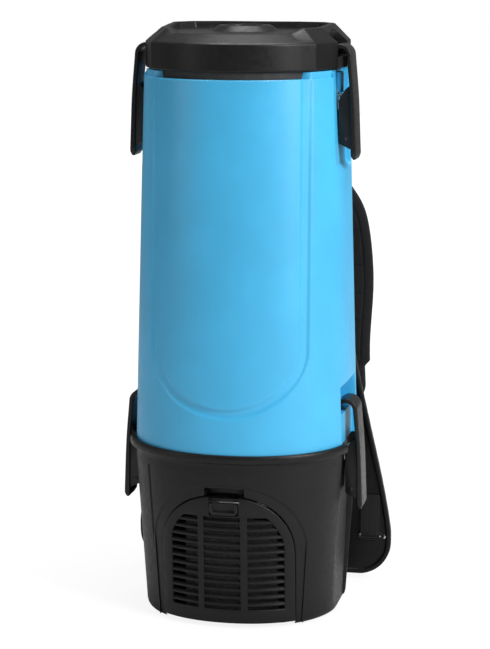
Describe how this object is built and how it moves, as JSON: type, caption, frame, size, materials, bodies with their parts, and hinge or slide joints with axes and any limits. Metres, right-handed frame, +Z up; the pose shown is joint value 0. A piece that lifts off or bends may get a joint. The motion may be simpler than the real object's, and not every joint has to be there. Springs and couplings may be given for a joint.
{
  "type": "backpack vacuum cleaner",
  "caption": "Upright backpack vacuum: tapered dust chamber with clamped lid and hose inlet, motor base with louvred exhaust door, over-centre side latches and padded harness.",
  "frame": {"origin": "centre of the base plate's underside, below the dust chamber's axis", "axes": "+Z up along the dust chamber's axis, -Y towards the front with the exhaust door, +Y towards the wearer's back"},
  "size_m": [0.27, 0.2657, 0.5808],
  "materials": {
    "blue_shell": "satin-gloss moulded plastic",
    "black_shell": "finely textured moulded plastic",
    "black_lever": "satin moulded plastic",
    "rubber": "soft matt rubber",
    "steel": "zinc-plated wire and sheet",
    "aluminium": "spun and pressed",
    "paper": "filter paper and card",
    "filter_cloth": "non-woven filter cloth",
    "foam": "open-cell foam",
    "padding": "quilted woven fabric over foam",
    "webbing": "ribbed woven webbing",
    "switch_red": "glossy plastic"
  },
  "bodies": {
    "machine": {"motor_housing": "black_shell", "base_plate": "black_shell", "exhaust_filter": "foam", "lower_motor_mount": "rubber", "upper_motor_mount": "rubber", "motor": "steel", "motor_foam": "foam", "fan_housing": "aluminium", "motor_grid": "black_shell", "pre_motor_filter": "filter_cloth", "switch_bezel": "black_lever", "cord_gland": "rubber", "chamber_seal": "rubber", "dust_chamber": "blue_shell", "cloth_filter": "filter_cloth", "filter_ring": "black_lever", "dust_bag": "paper", "bag_collar": "paper", "lid": "black_shell", "lid_gasket": "rubber", "inlet_collar": "black_shell", "inlet_seal": "rubber", "upper_right_bracket": "steel", "upper_left_bracket": "steel", "lower_right_bracket": "steel", "lower_left_bracket": "steel", "harness_plate": "black_shell", "plate_screw_1": "steel", "plate_screw_2": "steel", "plate_screw_3": "steel", "plate_screw_4": "steel", "back_pad": "padding", "lumbar_pad": "padding", "shoulder_pad_right": "padding", "shoulder_pad_left": "padding", "upper_webbing_right": "webbing", "upper_webbing_left": "webbing", "lower_webbing_right": "webbing", "lower_webbing_left": "webbing", "ladder_buckle_right": "black_lever", "ladder_buckle_left": "black_lever"},
    "door": {"filter_door": "black_shell"},
    "tab": {"door_tab": "black_lever"},
    "fan": {"impeller": "aluminium"},
    "rocker": {"power_rocker": "switch_red"},
    "upper_right_link": {"upper_right_bail": "steel"},
    "upper_right_latch": {"upper_right_lever": "black_lever"},
    "upper_left_link": {"upper_left_bail": "steel"},
    "upper_left_latch": {"upper_left_lever": "black_lever"},
    "lower_right_link": {"lower_right_bail": "steel"},
    "lower_right_latch": {"lower_right_lever": "black_lever"},
    "lower_left_link": {"lower_left_bail": "steel"},
    "lower_left_latch": {"lower_left_lever": "black_lever"}
  },
  "joints": [
    {"name": "door_tilt", "type": "hinge", "parent": "machine", "child": "door", "pos_m": [0, -0.0895, 0.0068], "axis": [1, 0, 0], "range_deg": [0, 20]},
    {"name": "tab_press", "type": "hinge", "parent": "door", "child": "tab", "pos_m": [0, -0.0968, 0.1162], "axis": [-1, 0, 0], "range_deg": [0, 8], "stiffness_Nm_per_rad": 0.05},
    {"name": "fan_spin", "type": "hinge", "parent": "machine", "child": "fan", "pos_m": [0, 0.012, 0.0903], "axis": [0, 0, 1], "continuous": true},
    {"name": "rocker_tilt", "type": "hinge", "parent": "machine", "child": "rocker", "pos_m": [-0.10157, 0.056, 0.1], "axis": [0, -1, 0], "range_deg": [0, 12]},
    {"name": "upper_right_pull", "type": "hinge", "parent": "machine", "child": "upper_right_link", "pos_m": [0.095, 0, 0.512], "axis": [0, -1, 0], "range_deg": [0, 70]},
    {"name": "upper_right_turn", "type": "hinge", "parent": "upper_right_link", "child": "upper_right_latch", "pos_m": [0.101, 0, 0.4715], "axis": [0, -1, 0], "range_deg": [-53, 0]},
    {"name": "upper_left_pull", "type": "hinge", "parent": "machine", "child": "upper_left_link", "pos_m": [-0.095, 0, 0.512], "axis": [0, 1, 0], "range_deg": [0, 70]},
    {"name": "upper_left_turn", "type": "hinge", "parent": "upper_left_link", "child": "upper_left_latch", "pos_m": [-0.101, 0, 0.4715], "axis": [0, 1, 0], "range_deg": [-53, 0]},
    {"name": "lower_right_pull", "type": "hinge", "parent": "machine", "child": "lower_right_link", "pos_m": [0.1041, 0, 0.165], "axis": [0, -1, 0], "range_deg": [0, 60]},
    {"name": "lower_right_turn", "type": "hinge", "parent": "lower_right_link", "child": "lower_right_latch", "pos_m": [0.1101, 0, 0.1245], "axis": [0, -1, 0], "range_deg": [-46, 0]},
    {"name": "lower_left_pull", "type": "hinge", "parent": "machine", "child": "lower_left_link", "pos_m": [-0.1041, 0, 0.165], "axis": [0, 1, 0], "range_deg": [0, 60]},
    {"name": "lower_left_turn", "type": "hinge", "parent": "lower_left_link", "child": "lower_left_latch", "pos_m": [-0.1101, 0, 0.1245], "axis": [0, 1, 0], "range_deg": [-46, 0]}
  ],
  "couplings": [
    {"joint": "upper_right_turn", "follows": "upper_right_pull", "ratio": -0.75},
    {"joint": "upper_left_turn", "follows": "upper_left_pull", "ratio": -0.75},
    {"joint": "lower_right_turn", "follows": "lower_right_pull", "ratio": -0.75},
    {"joint": "lower_left_turn", "follows": "lower_left_pull", "ratio": -0.75}
  ]
}
